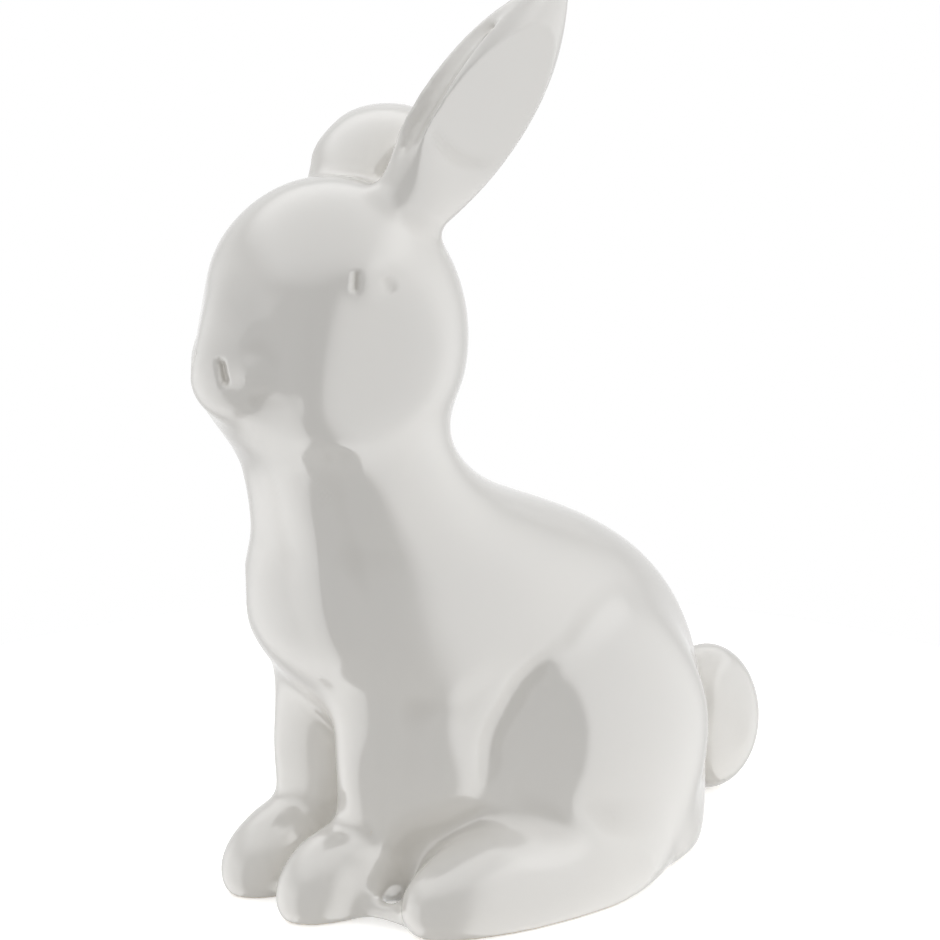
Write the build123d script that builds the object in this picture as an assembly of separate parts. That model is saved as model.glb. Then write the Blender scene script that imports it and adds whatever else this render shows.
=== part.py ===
from build123d import *
import math
import os

# A sitting rabbit, slip-cast in nine pieces that are luted together before firing.
# Frame: the origin is the mouth of the kiln vent in the floor, +Z is up,
# the rabbit faces -Y and its left side is +X. Millimetres and degrees.

# Clay: wall of the hollow casts, floor of the torso, kiln vent, and the pegs that
# place each limb, with room for slip around them.
WALL = 4.0
FLOOR = 5.0
VENT_DIAMETER = 3.0
PEG_LENGTH = 3.0
PEG_ROOT = 4.0
SLIP_GAP = 0.15

# Torso: level oval sections from the floor up, each raised above the one below it.
# A centre is the section's place along Y.
BASE_WIDTH = 67.0
BASE_LENGTH = 71.5
BASE_CENTRE = 9.7
HIP_RISE = 17.0
HIP_WIDTH = 62.0
HIP_LENGTH = 73.0
HIP_CENTRE = 12.0
BELLY_RISE = 16.0
BELLY_WIDTH = 58.0
BELLY_LENGTH = 77.0
BELLY_CENTRE = 9.0
CHEST_RISE = 14.0
CHEST_WIDTH = 55.0
CHEST_LENGTH = 84.0
CHEST_CENTRE = -0.5
SHOULDER_RISE = 11.0
SHOULDER_WIDTH = 50.0
SHOULDER_LENGTH = 74.0
SHOULDER_CENTRE = -7.5
NAPE_RISE = 10.5
NAPE_WIDTH = 43.0
NAPE_LENGTH = 51.0
NAPE_CENTRE = -17.0
NECK_RISE = 9.5
NECK_WIDTH = 40.0
NECK_LENGTH = 39.0
NECK_CENTRE = -24.5
CUP_RISE = 11.0

# Thigh in relief on each flank: an oval that stands out of the hip.
THIGH_THICKNESS = 28.0
THIGH_LENGTH = 52.0
THIGH_HEIGHT = 58.0
THIGH_INSET = 10.0
THIGH_SETBACK = -0.5
THIGH_LIFT = 7.0
THIGH_WALL = 6.0

# Head: an upright egg with a muzzle and two cheeks, drained through its underside.
HEAD_WIDTH = 48.5
HEAD_LENGTH = 48.2
HEAD_HEIGHT = 56.0
HEAD_FORWARD = 5.3
HEAD_SINK = 3.0
HEAD_DRAIN = 16.0
MUZZLE_WIDTH = 20.0
MUZZLE_LENGTH = 22.0
MUZZLE_HEIGHT = 19.0
MUZZLE_REACH = 4.6
MUZZLE_DROP = 3.5
CHEEK_SIZE = 27.0
CHEEK_SPREAD = 9.0
CHEEK_FORWARD = 6.7
CHEEK_DROP = 7.0

# Ears: one leaf with a long hollow, carried in two ways. A seat is the direction of the
# ear's root from the middle of the head, aim and bend give its midrib, and the opening
# is the side that the hollow faces. A share is a part of the ear's length or breadth.
EAR_LENGTH = 49.5
EAR_DEPTH = 21.5
EAR_THICKNESS = 14.5
EAR_RIM = 3.9
EAR_ROOT_SHARE = 0.72
EAR_WIDEST = 0.38
EAR_TIP_POWER = 2.3
EAR_TIP_SHARE = 0.98
EAR_BURIED_SHARE = 0.10
EAR_SECTIONS = 10
EAR_HOLLOW_START = 0.05
EAR_HOLLOW_END = 0.88
EAR_HOLLOW_TAPER = 0.75
EAR_PEG = 6.0
LEFT_EAR_SEAT = (0.38, 0.43, 0.82)
LEFT_EAR_AIM = (0.12, 0.62, 0.78)
LEFT_EAR_BEND = (0.0, 0.0, 0.0)
LEFT_EAR_OPENING = (0.0, -1.0, 0.0)
RIGHT_EAR_SEAT = (-0.36, 0.44, 0.82)
RIGHT_EAR_AIM = (-0.45, 0.62, 0.58)
RIGHT_EAR_BEND = (0.05, 0.12, -0.9)
RIGHT_EAR_OPENING = (-0.8, -0.6, -0.2)

# Forelegs: a column under the chest and a rounded paw on each side.
PAW_WIDTH = 16.0
PAW_LENGTH = 27.0
PAW_HEIGHT = 18.0
PAW_LIFT = 6.5
PAW_TILT = 20.0
PAW_GAP = 0.5
PAW_FORWARD = 8.5
LEG_DIAMETER = 13.5
SHOULDER_DIAMETER = 17.0
LEG_FORWARD = 1.5
LEG_PEG = 6.0
LEG_PEG_HEIGHT = 14.0

# Hind feet: long, blunt, half under the thighs. The right foot is set a step back.
FOOT_WIDTH = 22.5
FOOT_LENGTH = 60.0
FOOT_HEIGHT = 25.0
FOOT_LIFT = 5.0
FOOT_INSET = 6.9
FOOT_REACH = 20.5
FOOT_STEP = 14.0
FOOT_PEG = 6.0
FOOT_PEG_HEIGHT = 5.0

# Tail: an upturned scut.
TAIL_WIDTH = 20.0
TAIL_LENGTH = 20.0
TAIL_HEIGHT = 28.0
TAIL_OUT = 8.8
TAIL_LIFT = -3.0
TAIL_PEG = 6.0

# Heights and places that follow from the sizes above.
HIP_HEIGHT = HIP_RISE
BELLY_HEIGHT = HIP_HEIGHT + BELLY_RISE
CHEST_HEIGHT = BELLY_HEIGHT + CHEST_RISE
SHOULDER_HEIGHT = CHEST_HEIGHT + SHOULDER_RISE
NAPE_HEIGHT = SHOULDER_HEIGHT + NAPE_RISE
NECK_HEIGHT = NAPE_HEIGHT + NECK_RISE
CUP_HEIGHT = NECK_HEIGHT + CUP_RISE
HEAD_CENTRE = Vector(0, NECK_CENTRE - HEAD_FORWARD, NECK_HEIGHT - HEAD_SINK + HEAD_HEIGHT / 2)
BELLY_FRONT = HIP_CENTRE - HIP_LENGTH / 2
RUMP_BACK = HIP_CENTRE + HIP_LENGTH / 2
THIGH_CENTRE = HIP_CENTRE + THIGH_SETBACK
THIGH_FRONT = THIGH_CENTRE - THIGH_LENGTH / 2
THIGH_MIDDLE = HIP_WIDTH / 2 - THIGH_INSET
FLANK = max(BASE_WIDTH, HIP_WIDTH) / 2


def ellipsoid(width, length, height):
    return scale(Sphere(1), by=(width / 2, length / 2, height / 2))


def above(height, form):
    """The part of a form that lies over a level."""
    span = 4 * CUP_HEIGHT
    return form & Pos(0, 0, height + span / 2) * Box(span, span, span)


def spaced(start, end, count):
    steps = round(count) - 1
    return [start + (end - start) * i / steps for i in range(steps + 1)]


def peg(seat, diameter):
    """A peg along the seat plane's normal, from inside the limb into the wall behind it."""
    length = PEG_LENGTH + PEG_ROOT
    return seat * Pos(0, 0, length / 2 - PEG_LENGTH) * Cylinder(diameter / 2, length)


def socket(seat, diameter):
    """The hole for a peg, with the slip gap around it and at its end."""
    length = PEG_LENGTH + SLIP_GAP + PEG_ROOT
    radius = diameter / 2 + SLIP_GAP
    return seat * Pos(0, 0, length / 2 - PEG_LENGTH - SLIP_GAP) * Cylinder(radius, length)


def torso_loft(inset, bottom):
    sections = (
        (bottom, BASE_CENTRE, BASE_WIDTH, BASE_LENGTH),
        (HIP_HEIGHT, HIP_CENTRE, HIP_WIDTH, HIP_LENGTH),
        (BELLY_HEIGHT, BELLY_CENTRE, BELLY_WIDTH, BELLY_LENGTH),
        (CHEST_HEIGHT, CHEST_CENTRE, CHEST_WIDTH, CHEST_LENGTH),
        (SHOULDER_HEIGHT, SHOULDER_CENTRE, SHOULDER_WIDTH, SHOULDER_LENGTH),
        (NAPE_HEIGHT, NAPE_CENTRE, NAPE_WIDTH, NAPE_LENGTH),
        (NECK_HEIGHT, NECK_CENTRE, NECK_WIDTH, NECK_LENGTH),
        (CUP_HEIGHT, HEAD_CENTRE.Y, NECK_WIDTH, NECK_LENGTH),
    )
    return loft([
        Pos(0, centre, height) * Ellipse(width / 2 - inset, length / 2 - inset)
        for height, centre, width, length in sections
    ])


def thigh(side, inset):
    place = Pos(
        side * THIGH_MIDDLE,
        THIGH_CENTRE,
        HIP_HEIGHT + THIGH_LIFT,
    )
    return place * ellipsoid(
        THIGH_THICKNESS - 2 * inset, THIGH_LENGTH - 2 * inset, THIGH_HEIGHT - 2 * inset
    )


def torso_form():
    """The torso's outside, as a full solid that stands on the floor."""
    return torso_loft(0, 0) + above(0, thigh(1, 0)) + above(0, thigh(-1, 0))


def torso_block():
    """The same outside run on below the floor: the seat that every limb is cut to."""
    base = Pos(0, BASE_CENTRE) * Ellipse(BASE_WIDTH / 2, BASE_LENGTH / 2)
    return torso_loft(0, 0) + extrude(base, -FOOT_HEIGHT) + thigh(1, 0) + thigh(-1, 0)


def torso_cavity():
    thighs = thigh(1, THIGH_WALL) + thigh(-1, THIGH_WALL)
    return torso_loft(WALL, FLOOR) + above(FLOOR, thighs)


def head_form():
    """The head's outside, as a full solid."""
    form = Pos(HEAD_CENTRE) * ellipsoid(HEAD_WIDTH, HEAD_LENGTH, HEAD_HEIGHT)
    reach = HEAD_LENGTH / 2 + MUZZLE_REACH - MUZZLE_LENGTH / 2
    muzzle = ellipsoid(MUZZLE_WIDTH, MUZZLE_LENGTH, MUZZLE_HEIGHT)
    form += Pos(HEAD_CENTRE + (0, -reach, -MUZZLE_DROP)) * muzzle
    for side in (1, -1):
        middle = HEAD_CENTRE + (side * CHEEK_SPREAD, -CHEEK_FORWARD, -CHEEK_DROP)
        form += Pos(middle) * Sphere(CHEEK_SIZE / 2)
    return form


def head_cavity():
    hollow = ellipsoid(HEAD_WIDTH - 2 * WALL, HEAD_LENGTH - 2 * WALL, HEAD_HEIGHT - 2 * WALL)
    drain = Pos(0, 0, -HEAD_HEIGHT / 2) * Cylinder(HEAD_DRAIN / 2, HEAD_HEIGHT)
    return Pos(HEAD_CENTRE) * (hollow + drain)


class Ear:
    """One ear's carriage: where it stands on the head, and its midrib."""

    def __init__(self, seat, aim, bend, opening):
        self.root = HEAD_CENTRE + (
            seat[0] * HEAD_WIDTH / 2,
            seat[1] * HEAD_LENGTH / 2,
            seat[2] * HEAD_HEIGHT / 2,
        )
        self.aim = Vector(*aim).normalized()
        self.bend = Vector(*bend)
        self.opening = Vector(*opening)

    def section(self, share):
        """The plane across the midrib: x spans the ear, y points away from the opening."""
        run = self.aim * share + self.bend * share**2
        along = (self.aim + self.bend * (2 * share)).normalized()
        across = along.cross(self.opening).normalized()
        return Plane(origin=self.root + run * EAR_LENGTH, x_dir=across, z_dir=along)

    def swell(self, share):
        """The leaf's breadth at a share of its length, as a share of the widest."""
        if share < EAR_WIDEST:
            rise = math.sin(math.pi / 2 * max(share, 0) / EAR_WIDEST)
            return EAR_ROOT_SHARE + (1 - EAR_ROOT_SHARE) * rise
        return 1 - ((share - EAR_WIDEST) / (1 - EAR_WIDEST)) ** EAR_TIP_POWER

    def leaf(self):
        sections = []
        for share in spaced(-EAR_BURIED_SHARE, EAR_TIP_SHARE, EAR_SECTIONS):
            half_span = EAR_THICKNESS / 2 * self.swell(share)
            half_depth = EAR_DEPTH / 2 * self.swell(share)
            sections.append(self.section(share) * Ellipse(half_span, half_depth))
        return loft(sections)

    def hollow(self):
        """The long scoop in the leaf, which leaves a rim on each side and runs out at the tip."""
        sections = []
        length = EAR_HOLLOW_END - EAR_HOLLOW_START
        for share in spaced(EAR_HOLLOW_START, EAR_HOLLOW_END, EAR_SECTIONS):
            front = EAR_DEPTH / 2 * self.swell(share)
            taper = 1 - EAR_HOLLOW_TAPER * (share - EAR_HOLLOW_START) / length
            half_span = (EAR_THICKNESS / 2 - EAR_RIM) * self.swell(share) * taper
            sections.append(self.section(share) * Pos(0, -front) * Ellipse(half_span, front * taper))
        return loft(sections)

    def piece(self, head):
        return self.leaf() - self.hollow() - head + peg(self.section(0), EAR_PEG)

    def socket(self):
        return socket(self.section(0), EAR_PEG)


def foreleg_x(side):
    return side * (PAW_WIDTH + PAW_GAP) / 2


def foreleg_seat(side):
    place = (foreleg_x(side), BELLY_FRONT, LEG_PEG_HEIGHT)
    return Plane(origin=place, x_dir=(1, 0, 0), z_dir=(0, -1, 0))


def foreleg(side, torso):
    x, y = foreleg_x(side), BELLY_FRONT - LEG_FORWARD
    column = loft([
        Pos(x, y, PAW_LIFT) * Circle(LEG_DIAMETER / 2),
        Pos(x, y, CHEST_HEIGHT) * Circle(SHOULDER_DIAMETER / 2),
    ])
    paw = Pos(x, y - PAW_FORWARD, PAW_LIFT) * Rot(PAW_TILT, 0, 0) * ellipsoid(
        PAW_WIDTH, PAW_LENGTH, PAW_HEIGHT
    )
    return above(0, column + paw - torso) + peg(foreleg_seat(side), LEG_PEG)


def foot_middle(side):
    x = side * (max(FLANK, THIGH_MIDDLE + THIGH_THICKNESS / 2) - FOOT_INSET)
    y = THIGH_FRONT - FOOT_REACH + FOOT_LENGTH / 2
    return Vector(x, y if side > 0 else y + FOOT_STEP, FOOT_LIFT)


def foot_seat(side):
    place = (side * FLANK, THIGH_CENTRE, FOOT_PEG_HEIGHT)
    return Plane(origin=place, x_dir=(0, 1, 0), z_dir=(side, 0, 0))


def hind_foot(side, torso):
    form = Pos(foot_middle(side)) * ellipsoid(FOOT_WIDTH, FOOT_LENGTH, FOOT_HEIGHT)
    return above(0, form - torso) + peg(foot_seat(side), FOOT_PEG)


def tail_seat():
    place = (0, RUMP_BACK, HIP_HEIGHT + TAIL_LIFT)
    return Plane(origin=place, x_dir=(1, 0, 0), z_dir=(0, 1, 0))


def tail(torso):
    form = tail_seat() * Pos(0, 0, TAIL_OUT) * ellipsoid(TAIL_WIDTH, TAIL_HEIGHT, TAIL_LENGTH)
    return form - torso + peg(tail_seat(), TAIL_PEG)


SIDES = (("left", 1), ("right", -1))
EARS = {
    "left_ear": Ear(LEFT_EAR_SEAT, LEFT_EAR_AIM, LEFT_EAR_BEND, LEFT_EAR_OPENING),
    "right_ear": Ear(RIGHT_EAR_SEAT, RIGHT_EAR_AIM, RIGHT_EAR_BEND, RIGHT_EAR_OPENING),
}
limb_seat = torso_block()
head_outside = head_form()

nodes = {"tail": tail(limb_seat)}
head_sockets = [carriage.socket() for carriage in EARS.values()]
torso_sockets = [socket(tail_seat(), TAIL_PEG)]
for name, carriage in EARS.items():
    nodes[name] = carriage.piece(head_outside)
for name, side in SIDES:
    nodes[f"{name}_foreleg"] = foreleg(side, limb_seat)
    nodes[f"{name}_hind_foot"] = hind_foot(side, limb_seat)
    torso_sockets.append(socket(foreleg_seat(side), LEG_PEG))
    torso_sockets.append(socket(foot_seat(side), FOOT_PEG))
nodes["head_shell"] = head_outside - head_cavity() - head_sockets
vent = Pos(0, 0, FLOOR / 2) * Cylinder(VENT_DIAMETER / 2, 2 * FLOOR)
torso = torso_form() - torso_cavity() - head_outside
nodes["torso_shell"] = torso - torso_sockets - vent

os.makedirs("parts", exist_ok=True)
for name, piece in nodes.items():
    export_step(piece, f"parts/{name}.step")
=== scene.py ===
import functools
import math

import bmesh
import bpy
import numpy as np
from mathutils import Matrix, Vector
from mathutils.bvhtree import BVHTree
from mathutils.kdtree import KDTree


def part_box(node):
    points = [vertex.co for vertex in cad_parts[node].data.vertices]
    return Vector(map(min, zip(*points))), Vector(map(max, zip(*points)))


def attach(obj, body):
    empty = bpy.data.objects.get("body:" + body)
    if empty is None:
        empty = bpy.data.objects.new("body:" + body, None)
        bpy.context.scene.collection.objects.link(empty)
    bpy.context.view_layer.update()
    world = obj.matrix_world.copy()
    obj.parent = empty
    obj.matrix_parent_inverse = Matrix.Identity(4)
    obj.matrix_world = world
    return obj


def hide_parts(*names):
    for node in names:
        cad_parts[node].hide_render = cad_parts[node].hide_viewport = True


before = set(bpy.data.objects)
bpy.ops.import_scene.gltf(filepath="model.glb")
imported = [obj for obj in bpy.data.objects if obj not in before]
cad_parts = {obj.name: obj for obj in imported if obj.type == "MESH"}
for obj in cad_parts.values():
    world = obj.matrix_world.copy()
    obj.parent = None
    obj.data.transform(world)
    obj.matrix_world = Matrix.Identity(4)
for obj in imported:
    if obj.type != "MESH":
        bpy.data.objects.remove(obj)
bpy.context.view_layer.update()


# The glaze: one dip of white tin glaze over white earthenware, fired to a satin gloss.
# It is painted greyer in the hollows and darkest in the needle cuts: a little glaze pooling,
# mostly painted shade. It is a little lighter and warmer in soft random clouds, and is wiped off
# the foot, where the bare clay shows.
MM = 0.001
GLAZE_WHITE = "#EAE8E4"
# The grey painted into hollows and needle cuts: mostly painted shade, a little glaze pooling.
POOLED_GLAZE_AND_SHADE = "#C4C0B8"
GLAZE_THIN = "#EFECE6"
BARE_CLAY = "#DCD3C4"
GLAZE_ROUGHNESS = 0.13
GLAZE_IOR = 1.52
CLOUD_WIDTH = 22.0 * MM
PEEL_WIDTH = 1.6 * MM
WIPED_HEIGHT = 0.35 * MM
WIPED_ROUGHER = 0.5
CLOUD_SHARE = 0.35
ROUGHNESS_SWING = 0.03
PEEL_STRENGTH = 0.10
PEEL_DEPTH = 0.05 * MM


def linear(hex_colour):
    """An sRGB hex colour as linear values."""
    values = [int(hex_colour[i:i + 2], 16) / 255 for i in (1, 3, 5)]
    return [v / 12.92 if v <= 0.04045 else ((v + 0.055) / 1.055) ** 2.4 for v in values] + [1.0]


def add(tree, kind, inputs, **settings):
    """Adds a node with its settings, and links or fills its inputs."""
    made = tree.nodes.new(kind)
    for name, value in settings.items():
        setattr(made, name, value)
    for name, value in inputs.items():
        if isinstance(value, bpy.types.NodeSocket):
            tree.links.new(value, made.inputs[name])
        else:
            made.inputs[name].default_value = value
    return made


def mixed(tree, share, under, over):
    """One colour over another by a share."""
    mix = add(tree, "ShaderNodeMix", {0: share, 6: under, 7: over}, data_type="RGBA")
    return mix.outputs[2]


glaze = bpy.data.materials.new("white_tin_glaze")
glaze.use_nodes = True
tree = glaze.node_tree
shader = tree.nodes["Principled BSDF"]
place = add(tree, "ShaderNodeTexCoord", {}).outputs["Object"]
cloud = add(tree, "ShaderNodeTexNoise", {"Vector": place, "Scale": 1 / CLOUD_WIDTH, "Detail": 2.0})
cloud_share = add(
    tree, "ShaderNodeMapRange",
    {"Value": cloud.outputs["Fac"], "From Min": 0.2, "From Max": 0.8, "To Min": 0.0, "To Max": CLOUD_SHARE},
)
colour = mixed(tree, cloud_share.outputs["Result"], linear(GLAZE_WHITE), linear(GLAZE_THIN))
# Painted shade: greyer in the hollows and darkest in the needle cuts, a little of it glaze pooling.
hollow = add(tree, "ShaderNodeAttribute", {}, attribute_name="hollow")
colour = mixed(tree, hollow.outputs["Fac"], colour, linear(POOLED_GLAZE_AND_SHADE))
height = add(tree, "ShaderNodeSeparateXYZ", {"Vector": place}).outputs["Z"]
wiped = add(
    tree, "ShaderNodeMapRange",
    {"Value": height, "From Min": WIPED_HEIGHT, "From Max": 2 * WIPED_HEIGHT, "To Min": 1.0, "To Max": 0.0},
).outputs["Result"]
colour = mixed(tree, wiped, colour, linear(BARE_CLAY))
rough = add(
    tree, "ShaderNodeMapRange",
    {"Value": cloud.outputs["Fac"], "From Min": 0.3, "From Max": 0.7,
     "To Min": GLAZE_ROUGHNESS - ROUGHNESS_SWING, "To Max": GLAZE_ROUGHNESS + ROUGHNESS_SWING},
)
rough_foot = add(
    tree, "ShaderNodeMath", {0: wiped, 1: WIPED_ROUGHER, 2: rough.outputs["Result"]}, operation="MULTIPLY_ADD"
)
peel = add(tree, "ShaderNodeTexNoise", {"Vector": place, "Scale": 1 / PEEL_WIDTH, "Detail": 1.0})
ripple = add(
    tree, "ShaderNodeBump",
    {"Height": peel.outputs["Fac"], "Strength": PEEL_STRENGTH, "Distance": PEEL_DEPTH},
)
tree.links.new(colour, shader.inputs["Base Color"])
tree.links.new(rough_foot.outputs[0], shader.inputs["Roughness"])
tree.links.new(ripple.outputs["Normal"], shader.inputs["Normal"])
shader.inputs["IOR"].default_value = GLAZE_IOR


# The raw figure: nine slip casts of white earthenware, luted into one another while
# leather-hard. Beads of clay round the ears' rims, and coils pack the upright ear's hollow
# and the floor beside the near paw. One skin is drawn over it all, and parted further down.
GRAIN = 0.63 * MM
WELD = 0.001 * MM
EAR_RIM_RADIUS = 0.9 * MM
EAR_RIM_SINK = 0.55 * MM
EAR_RIM_ANGLE = math.radians(35)
EAR_RIM_CLEAR = 1.2 * MM
VENT_STOPPER_RADIUS = 2.4 * MM
VENT_STOPPER_LENGTH = 6.0 * MM
EAR_COIL = [(10.8, -22.0, 132.0, 2.2), (12.9, -11.6, 145.5, 2.2), (14.1, -5.4, 153.3, 1.6)]
PAW_COIL = [(15.0, -34.5, 2.6, 2.2), (24.0, -31.0, 2.6, 2.2)]


def as_object(form, name):
    """A shape as an object of its own, at the origin."""
    mesh = bpy.data.meshes.new(name)
    form.to_mesh(mesh)
    form.free()
    piece = bpy.data.objects.new(name, mesh)
    bpy.context.scene.collection.objects.link(piece)
    return piece


def settled(piece):
    """Applies a piece's modifiers to its mesh."""
    bpy.context.view_layer.update()
    graph = bpy.context.evaluated_depsgraph_get()
    mesh = bpy.data.meshes.new_from_object(piece.evaluated_get(graph))
    piece.modifiers.clear()
    piece.data = mesh
    return piece


def reskinned(piece, grain):
    """Draws one closed skin round everything in a piece."""
    skin = piece.modifiers.new("skin", "REMESH")
    skin.mode = "VOXEL"
    skin.voxel_size = grain
    return settled(piece)


def keep_main_body(piece):
    """Drops crumbs that hang free of a piece's main body."""
    form = bmesh.new()
    form.from_mesh(piece.data)
    unseen = set(form.verts)
    bodies = []
    while unseen:
        seed = unseen.pop()
        body, edge = [seed], [seed]
        while edge:
            fresh = [e.other_vert(v) for v in edge for e in v.link_edges]
            edge = list({v for v in fresh if v in unseen})
            unseen.difference_update(edge)
            body.extend(edge)
        bodies.append(body)
    bodies.sort(key=len)
    for crumb in bodies[:-1]:
        bmesh.ops.delete(form, geom=crumb, context="VERTS")
    form.to_mesh(piece.data)
    form.free()


def node_faces(node):
    """A cast's points and faces."""
    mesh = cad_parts[node].data
    return [v.co for v in mesh.vertices], [f.vertices for f in mesh.polygons]


@functools.cache
def node_tree(node):
    """A cast's faces, to measure distances to."""
    return BVHTree.FromPolygons(*node_faces(node))


def round_clay(radius):
    """An empty curve whose lines come out as round clay."""
    curve = bpy.data.curves.new("coil", "CURVE")
    curve.dimensions = "3D"
    curve.bevel_depth = radius
    curve.bevel_resolution = 3
    curve.use_fill_caps = True
    return curve


def rolled(curve):
    """The mesh of a curve of round clay."""
    laid = bpy.data.objects.new("coil", curve)
    bpy.context.scene.collection.objects.link(laid)
    bpy.context.view_layer.update()
    graph = bpy.context.evaluated_depsgraph_get()
    mesh = bpy.data.meshes.new_from_object(laid.evaluated_get(graph))
    bpy.data.objects.remove(laid)
    return mesh


def coil(stops):
    """A coil of clay rolled through stops, each a place and a radius in millimetres."""
    curve = round_clay(MM)
    line = curve.splines.new("POLY")
    line.points.add(len(stops) - 1)
    for point, (x, y, z, radius) in zip(line.points, stops):
        point.co = (x * MM, y * MM, z * MM, 1)
        point.radius = radius
    return rolled(curve)


clay = bmesh.new()
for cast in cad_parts.values():
    clay.from_mesh(cast.data)
bmesh.ops.remove_doubles(clay, verts=clay.verts, dist=WELD)
head_tree = node_tree("head_shell")
for ear in ("left_ear", "right_ear"):
    leaf = bmesh.new()
    leaf.from_mesh(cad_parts[ear].data)
    bmesh.ops.remove_doubles(leaf, verts=leaf.verts, dist=WELD)
    rim = [e for e in leaf.edges if e.calc_face_angle_signed(0) > EAR_RIM_ANGLE]
    rim = [e for e in rim if head_tree.find_nearest(e.verts[0].co, EAR_RIM_CLEAR)[3] is None]
    bead = round_clay(EAR_RIM_RADIUS)
    for edge in rim:
        sink = (edge.link_faces[0].normal + edge.link_faces[1].normal).normalized() * EAR_RIM_SINK
        line = bead.splines.new("POLY")
        line.points.add(1)
        for point, v in zip(line.points, edge.verts):
            point.co = (*(v.co - sink), 1)
    leaf.free()
    clay.from_mesh(rolled(bead))
ear_packing = coil(EAR_COIL)
paw_packing = coil(PAW_COIL)
clay.from_mesh(ear_packing)
clay.from_mesh(paw_packing)
bmesh.ops.create_cone(
    clay, cap_ends=True, segments=32, radius1=VENT_STOPPER_RADIUS, radius2=VENT_STOPPER_RADIUS,
    depth=VENT_STOPPER_LENGTH, matrix=Matrix.Translation((0, 0, VENT_STOPPER_LENGTH / 2)),
)
figure = reskinned(as_object(clay, "figure"), GRAIN)
keep_main_body(figure)


# The seams: slip is brushed into each joint and rubbed down with a wet sponge, so a joint
# shows as a soft fold and not as a line. Places and reaches from here on are millimetres.
SPONGE_SHARE = 0.5
FIRM_SHARE = 0.6
BRUSH_SHARE = 0.6
BRUSH_STROKE = 20
FIRST_RUB = 8
THIGH_BACK = 1
THIGH_BACK_RUN = 14
HEEL_PLACE = {1: 24, -1: 38}
TAIL_ROOT = (0, 46, 16)
NAPE = (0, -9, 98)
PAW_POCKET = (19.4, -31, 5)


def mesh_points(mesh):
    """A mesh's vertices as an array, in millimetres."""
    flat = np.empty(len(mesh.vertices) * 3)
    mesh.vertices.foreach_get("co", flat)
    return flat.reshape(-1, 3) / MM


def mesh_normals(mesh):
    """The way out at each of a mesh's vertices."""
    flat = np.empty(len(mesh.vertices) * 3)
    mesh.vertices.foreach_get("normal", flat)
    return flat.reshape(-1, 3)


def mesh_edges(mesh):
    """The pairs of vertices that a mesh's edges join."""
    flat = np.empty(len(mesh.edges) * 2, int)
    mesh.edges.foreach_get("vertices", flat)
    return flat.reshape(-1, 2)


def put_points(mesh, points):
    """Moves a mesh's vertices to places in millimetres."""
    mesh.vertices.foreach_set("co", (points * MM).ravel())
    mesh.update()


def averaged(values, edges):
    """Each point's mean over its neighbours."""
    first, second = edges.T
    total = len(values)
    count = np.bincount(edges.ravel(), minlength=total)
    columns = values.reshape(total, -1).T
    sums = [
        np.bincount(first, column[second], total) + np.bincount(second, column[first], total)
        for column in columns
    ]
    return (np.array(sums) / np.maximum(count, 1)).T.reshape(values.shape)


def worked(weights):
    """The points that a weight touches, the edges round them, and their own weights."""
    edges = mesh_edges(figure.data)
    busy = weights > 0
    edges = edges[busy[edges[:, 0]] | busy[edges[:, 1]]]
    chosen, local = np.unique(edges, return_inverse=True)
    return chosen, local.reshape(-1, 2), weights[chosen]


def sponge(weights, passes, firmness=SPONGE_SHARE):
    """Rubs the figure down: each point moves towards the middle of its neighbours."""
    points = mesh_points(figure.data)
    chosen, edges, share = worked(firmness * weights)
    patch = points[chosen]
    for _ in range(passes):
        patch += (averaged(patch, edges) - patch) * share[:, None]
    points[chosen] = patch
    put_points(figure.data, points)


def slip(weights, passes):
    """Brushes slip into the creases: points in a hollow rise, the rest stay."""
    points = mesh_points(figure.data)
    chosen, edges, share = worked(BRUSH_SHARE * weights)
    patch = points[chosen]
    for step in range(passes):
        if step % BRUSH_STROKE == 0:
            points[chosen] = patch
            put_points(figure.data, points)
            normals = mesh_normals(figure.data)[chosen]
        move = averaged(patch, edges) - patch
        rise = np.einsum("ij,ij->i", move, normals)
        patch += move * (share * (rise > 0))[:, None]
    points[chosen] = patch
    put_points(figure.data, points)


def fade(distance, reach):
    """1 at no distance, 0 at the reach, level at both ends."""
    share = np.clip(1 - distance / reach, 0, 1)
    return share * share * (3 - 2 * share)


def near(place, reach):
    """How near each point of the figure lies to a place."""
    return fade(np.linalg.norm(mesh_points(figure.data) - place, axis=1), reach)


def seam_weights(node, carrier, reach):
    """How near each point of the figure lies to the seam between two casts."""
    points = mesh_points(figure.data)
    low, high = (np.array(corner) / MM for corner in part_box(node))
    inside = np.all((points > low - reach) & (points < high + reach), axis=1)
    distance = np.full(len(points), reach)
    trees = [node_tree(name) for name in (node, carrier)]
    for i in np.flatnonzero(inside):
        place = Vector(points[i] * MM)
        found = [tree.find_nearest(place, reach * MM)[3] for tree in trees]
        if None not in found:
            distance[i] = max(found) / MM
    return fade(distance, reach)


# Each cast's carrier, the reach of its fold, and how many passes the sponge makes.
SEAMS = {
    "left_ear": ("head_shell", 5.0, 40),
    "right_ear": ("head_shell", 5.0, 40),
    "left_foreleg": ("torso_shell", 5.0, 50),
    "right_foreleg": ("torso_shell", 5.0, 50),
    "left_hind_foot": ("torso_shell", 4.0, 30),
    "right_hind_foot": ("torso_shell", 4.0, 30),
    "tail": ("torso_shell", 4.0, 30),
    "head_shell": ("torso_shell", 11.0, 220),
}
sponge(np.ones(len(figure.data.vertices)), FIRST_RUB)
for node, (carrier, reach, passes) in SEAMS.items():
    sponge(seam_weights(node, carrier, reach), passes, FIRM_SHARE)
behind = np.clip((mesh_points(figure.data)[:, 1] - THIGH_BACK) / THIGH_BACK_RUN, 0, 1)
for side in (1, -1):
    thigh = (side * 28, 24, 36)
    slip(behind * near(thigh, 44), 260)
    sponge(behind * near(thigh, 44), 60)
slip(near(TAIL_ROOT, 26), 500)
slip(near(NAPE, 28), 160)
slip(near(PAW_POCKET, 9), 400)
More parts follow.
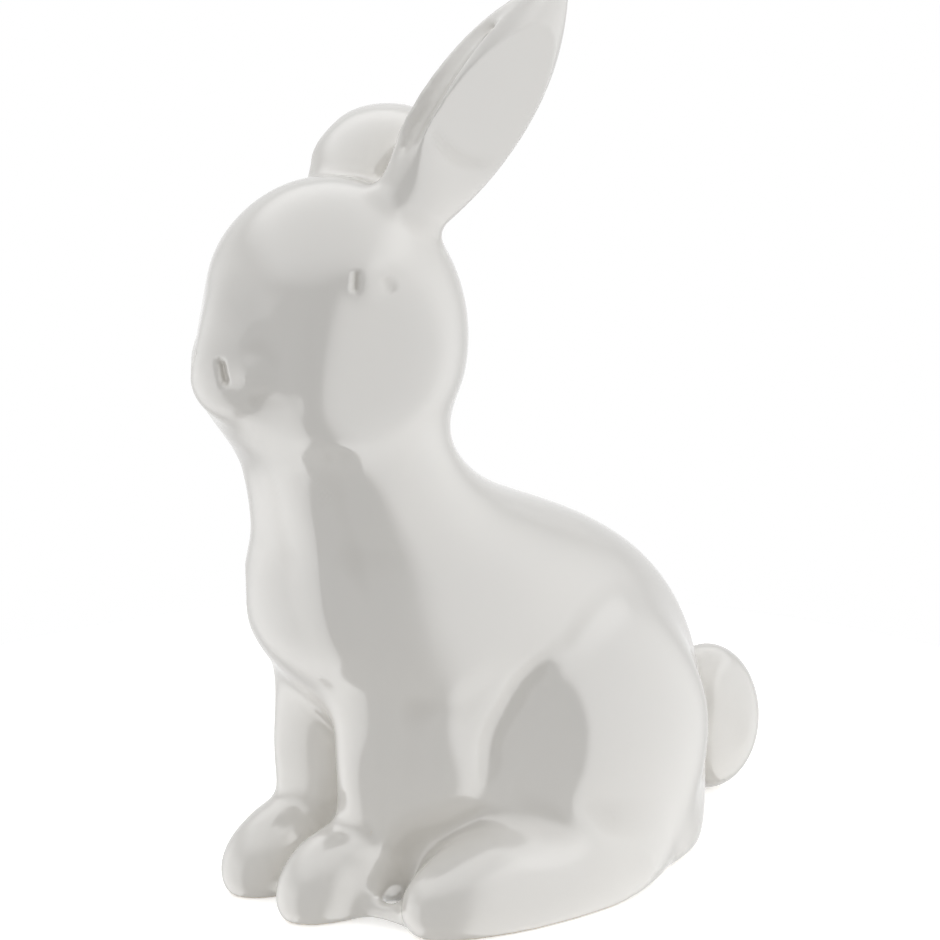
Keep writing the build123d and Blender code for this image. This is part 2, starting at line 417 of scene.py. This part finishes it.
for side in (1, -1):
    rump = (side * 23, 32, 46)
    belly = (side * 18, -22, 26)
    between_legs = (side * 10, -38, 14)
    behind_paw = (side * 20.6, -21.7, 12)
    instep = (side * 32, -6, 15)
    heel = (side * 34, HEEL_PLACE[side], 9)
    heel_crease = (side * 31, HEEL_PLACE[side] + 3, 8)
    sponge(near(rump, 19), 300, FIRM_SHARE)
    slip(near(belly, 20), 300)
    slip(near(between_legs, 13), 300)
    slip(near(behind_paw, 10), 200)
    sponge(near(behind_paw, 10), 40)
    slip(near(instep, 16), 160)
    sponge(near(instep, 16), 60)
    slip(near(heel, 22), 420)
    slip(near(heel_crease, 15), 500)
    sponge(near(heel, 22), 80)


# The face: a nose bridge filled with slip, cheeks, brows and muzzle sides pared flat with a
# loop, and a soft mouth line. Turns and rises are degrees, from the front and from level.
NOSE_BRIDGE = (0, -48, 105)
NOSE = (0, -54.5, 110.0)
FACE_MIDDLE = (0, -46, 108)
MOUTH = [(6.5, -54.5, 97.0), (12.6, -50.0, 96.8), (17.2, -46.8, 98.2)]
MUZZLE_SWELL = {1: 1.1, -1: 0.6}
PATH_STEPS = 12
PATH_SEARCH = 8
PATH_ROUNDING = 4
STROKE_ENDS = 0.25


def direction(turn, rise):
    """The way out from the figure at a turn from its front and a rise."""
    level = math.cos(rise)
    return Vector((math.sin(turn) * level, -math.cos(turn) * level, math.sin(rise)))


def pare(place, turn, rise, reach):
    """Slices flat what stands out past a plane through a place, facing a turn and a rise."""
    points = mesh_points(figure.data)
    facing = np.array(direction(math.radians(turn), math.radians(rise)))
    proud = np.maximum((points - place) @ facing, 0)
    share = np.clip(2 * near(place, reach), 0, 1)
    put_points(figure.data, points - facing * (proud * share)[:, None])


def dab(place, reach, rise):
    """Presses a pellet of clay on round a place."""
    lift = rise * near(place, reach)
    put_points(figure.data, mesh_points(figure.data) + mesh_normals(figure.data) * lift[:, None])


def traced(path):
    """A path's places, close together and laid on the skin."""
    points = mesh_points(figure.data)
    stops = np.array(path, float)
    shares = np.linspace(0, len(stops) - 1, PATH_STEPS * len(stops))
    line = np.array([np.interp(shares, range(len(stops)), column) for column in stops.T]).T
    low, high = stops.min(0) - PATH_SEARCH, stops.max(0) + PATH_SEARCH
    close = points[np.all((points > low) & (points < high), axis=1)]
    line = np.array([close[np.argmin(((close - place) ** 2).sum(1))] for place in line])
    for _ in range(PATH_ROUNDING):
        line[1:-1] = (line[:-2] + line[1:-1] + line[2:]) / 3
    return line


def along(path, width):
    """How near each point of the figure lies to a path on the skin, fading at its ends."""
    points = mesh_points(figure.data)
    line = traced(path)
    weights = np.zeros(len(points))
    low, high = line.min(0) - width, line.max(0) + width
    inside = np.flatnonzero(np.all((points > low) & (points < high), axis=1))
    gaps = np.linalg.norm(points[inside, None] - line[None], axis=2)
    share = gaps.argmin(1) / (len(line) - 1)
    ends = fade(np.minimum(share, 1 - share), STROKE_ENDS)
    weights[inside] = fade(gaps.min(1), width) * (1 - ends)
    return weights


def stroke(path, width, rise):
    """Draws along a path with a needle, or lays a coil on it where the rise is positive."""
    lift = rise * along(path, width)
    put_points(figure.data, mesh_points(figure.data) + mesh_normals(figure.data) * lift[:, None])


def sided(path, side):
    """A path of the left side, or its mirror image."""
    return [(side * x, y, z) for x, y, z in path]


def model_face(side):
    """Pares one side of the face, and sets its nostril's swelling, eyelid and mouth."""
    cheek = (side * 19.3, -36.7, 108.0)
    brow = (side * 11.5, -47.0, 117.0)
    muzzle = (side * 11.5, -49.0, 108.0)
    jowl = (side * 19, -37, 108)
    nostril_wing = (side * 8.3, -53.0, 102)
    eyelid = (side * 18.6, -35.2, 117.6)
    pare(cheek, turn=side * 73, rise=5, reach=31)
    pare(brow, turn=side * 42, rise=25, reach=13)
    pare(muzzle, turn=side * 36, rise=10, reach=16)
    sponge(near(jowl, 32), 130)
    dab(nostril_wing, reach=5, rise=MUZZLE_SWELL[side])
    dab(eyelid, reach=5, rise=0.4)
    stroke(sided(MOUTH, side), width=4.0, rise=-0.4)


slip(near(NOSE_BRIDGE, 30), 600)
sponge(near(NOSE_BRIDGE, 30), 120)


# The ears: the upright one's hollow is brushed with slip and its outer face pared flat, and
# the swept one's lobe is pared and rubbed round.
EAR_HOLLOW = [(9.8, -16.5, 133.8), (12.2, -7.4, 151.7), (14.2, 3.4, 165.0)]
EAR_HOLLOW_REACH = 9
LEFT_EAR_FACE = (16.6, -4.6, 148.7)
LEFT_EAR_ROOT = (10, -23, 133)
RIGHT_EAR_FACE = (-27.5, -9.4, 129.6)
RIGHT_EAR_BEND = (-22, -7, 131)
RIGHT_EAR_LOBE = (-17, -2, 136)
slip(along(EAR_HOLLOW, EAR_HOLLOW_REACH), 200)
pare(LEFT_EAR_FACE, turn=85, rise=-7, reach=33)
pare(RIGHT_EAR_FACE, turn=-46, rise=25, reach=15)
sponge(near(RIGHT_EAR_BEND, 22), 150)
sponge(near(RIGHT_EAR_LOBE, 12), 100)
sponge(near(LEFT_EAR_ROOT, 9), 90)


# The chest and forelegs: clay packed between leg and belly, a soft ridge down each side of
# the chest, and everything rubbed over, so that leg and chest read as one form.
CHEST_RIDGE = [
    (7.5, -43.5, 92.0), (8.5, -41.0, 74.0), (10.5, -40.0, 64.0), (13.5, -38.0, 53.0), (15.0, -33.0, 40.0)
]
CHEST_SWELL = {1: 1.0, -1: 0.4}
FAR_CHEST = (-8.0, -42.5, 57.0)
LEG_HEIGHTS = (16, 22, 28, 34, 40)


def fill(place, turn, rise, reach):
    """Packs clay up to a plane through a place, facing a turn and a rise."""
    points = mesh_points(figure.data)
    facing = np.array(direction(math.radians(turn), math.radians(rise)))
    short = np.maximum((place - points) @ facing, 0)
    share = np.clip(2 * near(place, reach), 0, 1)
    put_points(figure.data, points + facing * (short * share)[:, None])


def model_foreleg(side):
    """Packs and rubs one foreleg, from the elbow's hollow down to the paw."""
    behind_leg = (side * 18.3, -26.9, 26.0)
    before_thigh = (side * 21.5, -22.8, 27.0)
    wrist = (side * 15.4, -36.5, 7.0)
    for height in LEG_HEIGHTS:
        fill((side * 14.0, -31.9, height), turn=side * 30, rise=0, reach=8)
    fill(behind_leg, turn=side * 52, rise=0, reach=17)
    fill(before_thigh, turn=side * 52, rise=0, reach=14)
    fill(wrist, turn=side * 58, rise=8, reach=10)
    slip(near((side * 11, -37, 41), 14), 400)
    stroke(sided(CHEST_RIDGE, side), width=7.5, rise=CHEST_SWELL[side])
    sponge(near((side * 10, -37, 41), 15), 160)
    sponge(near((side * 19, -25, 28), 26), 90)
    sponge(near((side * 15, -35, 8), 12), 40)
    sponge(near((side * 17, -30, 4), 9), 80)
    sponge(near((side * 21, -20, 27), 14), 40)


pare(FAR_CHEST, turn=-38, rise=0, reach=26)


# The thighs: slip evens the fold in front of each, the front is pared to a flat facet, and a
# crease is drawn ahead of it and rubbed over lightly.
THIGH_LINE = [(26.9, 1.3, 49.7), (27.0, -8.8, 40.7), (23.9, -13.1, 31.4), (21.8, -14.2, 19.8)]


def model_thigh(side):
    """Fills, pares and draws the front of one thigh."""
    front = (side * 31.2, -2.1, 30.0)
    slip(along(sided(THIGH_LINE, side), 11), 300)
    pare(front, turn=side * 58, rise=8, reach=24)
    sponge(near((side * 29, -5, 30), 24), 30)
    stroke(sided(THIGH_LINE, side), width=4.0, rise=-0.9)
    sponge(near((side * 28, -6, 32), 28), 10)


# The tail: flat cheeks with a shallow upright groove, and both sides of the figure are
# then modelled in turn.
TAIL_GROOVE = [(7.5, 57.5, 28.0), (9.0, 57.5, 15.0), (7.5, 57.0, 2.0)]


def model_tail(side):
    """Pares and grooves one side of the tail."""
    pare((side * 8.8, 53.0, 15.0), turn=side * 82, rise=0, reach=13)
    stroke(sided(TAIL_GROOVE, side), width=6.0, rise=-0.6)
    sponge(near((side * 8.5, 56, 15), 16), 40)


for side in (1, -1):
    model_face(side)
    model_foreleg(side)
    model_thigh(side)
    model_tail(side)
dab(NOSE, reach=10, rise=1.4)
sponge(near(FACE_MIDDLE, 34), 14)


# The needle work: two slanted nostrils and the two short lines of each eye, cut into a skin
# of half the grain. The cuts are painted dark through the glaze's hollow attribute: painted shade.
NOSTRIL = [(3.3, -56.0, 104.6), (5.7, -56.3, 99.1)]
EYE_FRONT = [(18.6, -37.4, 120.4), (18.5, -38.2, 115.6)]
EYE_BACK = [(20.4, -32.4, 118.7), (20.6, -31.8, 115.0)]
NOSTRIL_PLACE = (4, -56, 102)
EYE_PLACE = (19.5, -35, 118)
NOSTRIL_DEPTH = {1: -0.9, -1: -0.4}
LAST_RUB = 2


def refined(weights):
    """Halves the grain where a weight is set, for the needle."""
    form = bmesh.new()
    form.from_mesh(figure.data)
    form.verts.ensure_lookup_table()
    chosen = set(np.flatnonzero(weights > 0))
    edges = [e for e in form.edges if e.verts[0].index in chosen and e.verts[1].index in chosen]
    bmesh.ops.subdivide_edges(form, edges=edges, cuts=1, use_grid_fill=True)
    form.to_mesh(figure.data)
    form.free()
    figure.data.update()


def needled(nostril_reach, eye_reach):
    """The skin round both nostrils and both eyes."""
    weights = 0
    for place, reach in ((NOSTRIL_PLACE, nostril_reach), (EYE_PLACE, eye_reach)):
        for spot in (place, sided([place], -1)[0]):
            weights = weights + near(spot, reach)
    return weights


refined(needled(6, 7))
# drawn: how dark each needle cut is painted, as painted shade in the cuts.
drawn = np.zeros(len(figure.data.vertices))
for side in (1, -1):
    nostril, eye_front, eye_back = (sided(path, side) for path in (NOSTRIL, EYE_FRONT, EYE_BACK))
    drawn = np.maximum(drawn, along(nostril, 1.1))
    drawn = np.maximum(drawn, 0.8 * along(eye_front, 1.0))
    drawn = np.maximum(drawn, 0.3 * along(eye_back, 1.4))
    stroke(nostril, width=1.4, rise=NOSTRIL_DEPTH[side])
    stroke(eye_front, width=1.3, rise=-0.4)
    stroke(eye_back, width=2.0, rise=-0.25)
sponge(needled(7, 8), LAST_RUB)


# Parting: each cast is cut from the figure just outside its seam, with the peg that
# places it, so the skin runs on over the joint and the hidden joint faces stay bare clay.
SEAM_MARGIN = 1.4 * MM
HEAD_MARGIN = 2.8 * MM
HEAD_SIZE = Vector((48.5, 48.2, 56.0)) * MM
HEAD_WALL = 2.0 * MM
VENT_RADIUS = 1.5 * MM
VENT_DRILL_LENGTH = 16.0 * MM
VENT_DRILL_RISE = 2.0 * MM
BARE_ROUGHNESS = 0.85
# How far the glaze is painted greyer where the skin dips: a little glaze pooling, mostly painted shade.
POOL_AND_SHADE_DEPTH = 0.03
POOL_AND_SHADE_MOST = 0.2
POOL_AND_SHADE_SPREAD = 6
bare = bpy.data.materials.new("bare_earthenware")
bare.use_nodes = True
bare_shader = bare.node_tree.nodes["Principled BSDF"]
bare_shader.inputs["Base Color"].default_value = linear(BARE_CLAY)
bare_shader.inputs["Roughness"].default_value = BARE_ROUGHNESS

figure.data.materials.clear()
figure.data.materials.append(glaze)
figure.data.materials.append(bare)
for face in figure.data.polygons:
    face.material_index = 0
skin_normals = mesh_normals(figure.data)
skin_points = mesh_points(figure.data)
skin_edges = mesh_edges(figure.data)
# Painted shade: each skin point is painted greyer by how far it dips, and fully dark in the needle cuts.
dent = np.einsum("ij,ij->i", averaged(skin_points, skin_edges) - skin_points, skin_normals)
for _ in range(POOL_AND_SHADE_SPREAD):
    dent = averaged(dent, skin_edges)
skin_pool_and_shade = np.maximum(np.clip(dent / POOL_AND_SHADE_DEPTH, 0, POOL_AND_SHADE_MOST), drawn)
skin_tree = KDTree(len(skin_points))
for i, place in enumerate(skin_points):
    skin_tree.insert(place * MM, i)
skin_tree.balance()


def seam_tool(node, margin, filler):
    """A cast swollen by the seam's margin, to cut the figure with."""
    form = bmesh.new()
    form.from_mesh(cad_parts[node].data)
    bmesh.ops.remove_doubles(form, verts=form.verts, dist=WELD)
    if filler:
        form.from_mesh(filler)
    tool = reskinned(as_object(form, "seam_tool"), GRAIN)
    swell = tool.modifiers.new("swell", "DISPLACE")
    swell.strength = margin
    swell.mid_level = 0
    settled(tool)
    reskinned(tool, GRAIN)
    tool.data.materials.clear()
    tool.data.materials.append(glaze)
    tool.data.materials.append(bare)
    for face in tool.data.polygons:
        face.material_index = 1
    return tool


def cut(piece, tool, way):
    """Keeps the part of a piece inside a tool, or outside it."""
    knife = piece.modifiers.new("cut", "BOOLEAN")
    knife.operation = way
    knife.object = tool
    knife.solver = "MANIFOLD"
    return settled(piece)


def parted(node, margin=SEAM_MARGIN, filler=None):
    """Cuts one cast from the figure, and leaves the rest."""
    tool = seam_tool(node, margin, filler)
    piece = figure.copy()
    piece.data = figure.data.copy()
    bpy.context.scene.collection.objects.link(piece)
    cut(piece, tool, "INTERSECT")
    cut(figure, tool, "DIFFERENCE")
    bpy.data.objects.remove(tool)
    finished(piece, node)


def finished(piece, node):
    """Glazes a cast: the figure's own normals run on across its seam."""
    piece.name = node + "_glazed"
    keep_main_body(piece)
    mesh = piece.data
    mesh.name = piece.name
    nearest = np.array([skin_tree.find(v.co)[1] for v in mesh.vertices])
    # The hollow attribute carries the painted shade onto the piece.
    pool_and_shade_values = mesh.attributes.new("hollow", "FLOAT", "POINT")
    pool_and_shade_values.data.foreach_set("value", skin_pool_and_shade[nearest])
    mesh.shade_smooth()
    skin = np.zeros((len(mesh.loops), 3))
    corner_vertex = np.empty(len(mesh.loops), int)
    mesh.loops.foreach_get("vertex_index", corner_vertex)
    slots = np.empty(len(mesh.polygons), int)
    mesh.polygons.foreach_get("material_index", slots)
    sizes = np.empty(len(mesh.polygons), int)
    mesh.polygons.foreach_get("loop_total", sizes)
    outside = np.repeat(slots == 0, sizes)
    skin[outside] = skin_normals[nearest[corner_vertex[outside]]]
    mesh.normals_split_custom_set(skin)
    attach(piece, "root")
    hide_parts(node)


head_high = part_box("head_shell")[1]
head_middle = Vector((0, head_high.y - HEAD_SIZE.y / 2, head_high.z - HEAD_SIZE.z / 2))
head_half = HEAD_SIZE / 2 - Vector((1, 1, 1)) * HEAD_WALL
head_core = Matrix.Translation(head_middle) @ Matrix.Diagonal((*head_half, 1))
core = bmesh.new()
bmesh.ops.create_icosphere(core, subdivisions=4, radius=1, matrix=head_core)
head_packing = bpy.data.meshes.new("head_packing")
core.to_mesh(head_packing)
core.free()
parted("left_ear", SEAM_MARGIN, ear_packing)
parted("left_foreleg", SEAM_MARGIN, paw_packing)
for node in ("right_ear", "tail", "right_foreleg", "left_hind_foot", "right_hind_foot"):
    parted(node)
parted("head_shell", HEAD_MARGIN, head_packing)
drill = bmesh.new()
bmesh.ops.create_cone(
    drill, cap_ends=True, segments=48, radius1=VENT_RADIUS, radius2=VENT_RADIUS,
    depth=VENT_DRILL_LENGTH, matrix=Matrix.Translation((0, 0, VENT_DRILL_RISE)),
)
drill = as_object(drill, "vent_drill")
drill.data.materials.append(glaze)
drill.data.materials.append(bare)
for face in drill.data.polygons:
    face.material_index = 1
cut(figure, drill, "DIFFERENCE")
bpy.data.objects.remove(drill)
finished(figure, "torso_shell")


# The stage: the camera at the rabbit's front left, a pale floor in a white room, graded
# panels at the sides, over and behind that the glaze mirrors, and two softboxes that light it.
CAMERA_TURN = math.radians(52)
CAMERA_RISE = math.radians(17)
CAMERA_TARGET = Vector((0, 1.1, 72.7)) * MM
CAMERA_DISTANCE = 1000 * MM
SENSOR = 36.0
IMAGE_WIDTH = 940
FOCAL_PIXELS = 5600
FLOOR_RADIUS = 150 * MM
FLOOR_WHITE = "#F2F1EF"
FLOOR_GLOW = 0.55
ROOM_LIGHT = 0.53

camera = bpy.data.objects.new("camera", bpy.data.cameras.new("camera"))
bpy.context.scene.collection.objects.link(camera)
camera.data.sensor_width = SENSOR
camera.data.lens = SENSOR * FOCAL_PIXELS / IMAGE_WIDTH
camera.data.clip_start = 0.05
camera.data.clip_end = 50
camera_way = direction(CAMERA_TURN, CAMERA_RISE)
camera.location = CAMERA_TARGET + camera_way * CAMERA_DISTANCE
camera.rotation_euler = (-camera_way).to_track_quat("-Z", "Y").to_euler()
bpy.context.scene.camera = camera


def seen_share(tree):
    """1 for the rays that show the backdrop: the camera's, a mirrored one and one through glass."""
    rays = add(tree, "ShaderNodeLightPath", {}).outputs
    seen = rays["Is Camera Ray"]
    for kind in ("Is Glossy Ray", "Is Transmission Ray"):
        seen = add(tree, "ShaderNodeMath", {0: seen, 1: rays[kind]}, operation="MAXIMUM").outputs[0]
    return seen


ground = bmesh.new()
bmesh.ops.create_circle(ground, cap_ends=True, segments=96, radius=FLOOR_RADIUS)
floor = as_object(ground, "floor")
floor.visible_glossy = False
paper = bpy.data.materials.new("white_paper")
paper.use_nodes = True
tree = paper.node_tree
sheet = tree.nodes["Principled BSDF"]
sheet.inputs["Base Color"].default_value = linear(FLOOR_WHITE)
sheet.inputs["Roughness"].default_value = 0.9
glow = add(tree, "ShaderNodeMath", {0: seen_share(tree), 1: FLOOR_GLOW}, operation="MULTIPLY")
tree.links.new(glow.outputs[0], sheet.inputs["Emission Strength"])
sheet.inputs["Emission Color"].default_value = (1, 1, 1, 1)
floor.data.materials.append(paper)

world = bpy.data.worlds.new("white_room")
bpy.context.scene.world = world
world.use_nodes = True
tree = world.node_tree
level = add(
    tree, "ShaderNodeMapRange", {"Value": seen_share(tree), "To Min": ROOM_LIGHT, "To Max": 1.0}
)
tree.nodes["Background"].inputs["Color"].default_value = (1, 1, 1, 1)
tree.links.new(level.outputs["Result"], tree.nodes["Background"].inputs["Strength"])

# Each side panel: its side, the turns of its near and far edges from the camera, its top, its
# glow, and the ramps from dark to full along its front, its back and its top.
PANEL_ASIDE = 0.60
PANEL_BOTTOM = -1.60
PANELS = {
    "left_panel": (-1, 38, 155, 0.50, 2.9, (-0.35, 0.30), (0.82, 0.30), (1.0, 0.70)),
    "right_panel": (1, 24, 155, 1.10, 3.15, (0.0, 0.28), (0.86, 0.45), (1.0, 0.70)),
}
TOP_HEIGHT = 0.70
TOP_FRONT = 1.50
TOP_BACK = 1.60
TOP_WIDTH = 2.6
TOP_GLOW = 2.4
BACK_DISTANCE = 1.6
BACK_WIDTH = 4.0
BACK_TALL = 1.2
BACK_LIFT = 0.75
BACK_GLOW = 0.25
TOP_RAMPS = ((0.0, 0.42), (1.0, 0.66))
EVEN_RAMPS = ((0.0, 0.3), (1.0, 0.7))
# Each softbox: its turn from the camera, rise, distance, width, height and watts.
SOFTBOXES = {
    "left_softbox": (-95, 30, 0.75, 0.45, 0.65, 0.7),
    "right_softbox": (100, 30, 0.75, 0.60, 0.70, 0.9),
}


def area_light(name, width, tall, watts, place, way):
    """A rectangular lamp at a place, facing back along its way out."""
    lamp = bpy.data.lights.new(name, "AREA")
    lamp.shape = "RECTANGLE"
    lamp.size = width
    lamp.size_y = tall
    lamp.energy = watts
    stand = bpy.data.objects.new(name, lamp)
    bpy.context.scene.collection.objects.link(stand)
    stand.location = place
    stand.rotation_euler = (-way).to_track_quat("-Z", "Y").to_euler()
    return stand


def shaped(stand, across_ramps, up_ramps, flip=False):
    """Grades a panel across and up: a ramp runs from dark to full between two shares of its size."""
    stand.data.use_nodes = True
    tree = stand.data.node_tree
    where = add(tree, "ShaderNodeNewGeometry", {}).outputs["Parametric"]
    shares = add(tree, "ShaderNodeSeparateXYZ", {"Vector": where}).outputs
    across = shares["X"]
    if flip:
        across = add(tree, "ShaderNodeMath", {0: 1.0, 1: across}, operation="SUBTRACT").outputs[0]
    level = 1.0
    for share, ramps in ((across, across_ramps), (shares["Y"], up_ramps)):
        for dark, full in ramps:
            ramp = add(
                tree, "ShaderNodeMapRange", {"Value": share, "From Min": dark, "From Max": full},
                interpolation_type="SMOOTHSTEP",
            )
            level = add(
                tree, "ShaderNodeMath", {0: level, 1: ramp.outputs["Result"]}, operation="MULTIPLY"
            ).outputs[0]
    tree.links.new(level, tree.nodes["Emission"].inputs["Strength"])


for name, (side, edge, end, top, glow, front_ramp, back_ramp, top_ramp) in PANELS.items():
    way = direction(CAMERA_TURN + side * math.pi / 2, 0)
    front = PANEL_ASIDE / math.tan(math.radians(edge))
    back = PANEL_ASIDE / math.tan(math.radians(end))
    middle = CAMERA_TARGET + way * PANEL_ASIDE + direction(CAMERA_TURN, 0) * (front + back) / 2
    middle.z += (top + PANEL_BOTTOM) / 2
    width, tall = front - back, top - PANEL_BOTTOM
    stand = area_light(name, width, tall, glow * math.pi * width * tall, middle, way)
    stand.visible_diffuse = False
    shaped(stand, (front_ramp, back_ramp), (top_ramp,), side < 0)
way = Vector((0, 0, 1))
long = TOP_FRONT + TOP_BACK
stand = area_light(
    "top_panel", long, TOP_WIDTH, TOP_GLOW * math.pi * long * TOP_WIDTH,
    CAMERA_TARGET + way * TOP_HEIGHT + direction(CAMERA_TURN, 0) * (TOP_FRONT - TOP_BACK) / 2, way,
)
stand.rotation_euler = (0, 0, CAMERA_TURN + math.pi / 2)
stand.visible_diffuse = False
shaped(stand, TOP_RAMPS, EVEN_RAMPS)
way = direction(CAMERA_TURN + math.pi, 0)
stand = area_light(
    "back_panel", BACK_WIDTH, BACK_TALL, BACK_GLOW * math.pi * BACK_WIDTH * BACK_TALL,
    CAMERA_TARGET + way * BACK_DISTANCE + Vector((0, 0, BACK_LIFT)), way,
)
stand.visible_diffuse = False
stand.visible_camera = False
shaped(stand, EVEN_RAMPS, EVEN_RAMPS)
for name, (turn, rise, distance, width, tall, watts) in SOFTBOXES.items():
    way = direction(CAMERA_TURN + math.radians(turn), math.radians(rise))
    stand = area_light(name, width, tall, watts, CAMERA_TARGET + way * distance, way)
    stand.visible_glossy = False

bpy.context.scene.view_settings.view_transform = "Standard"
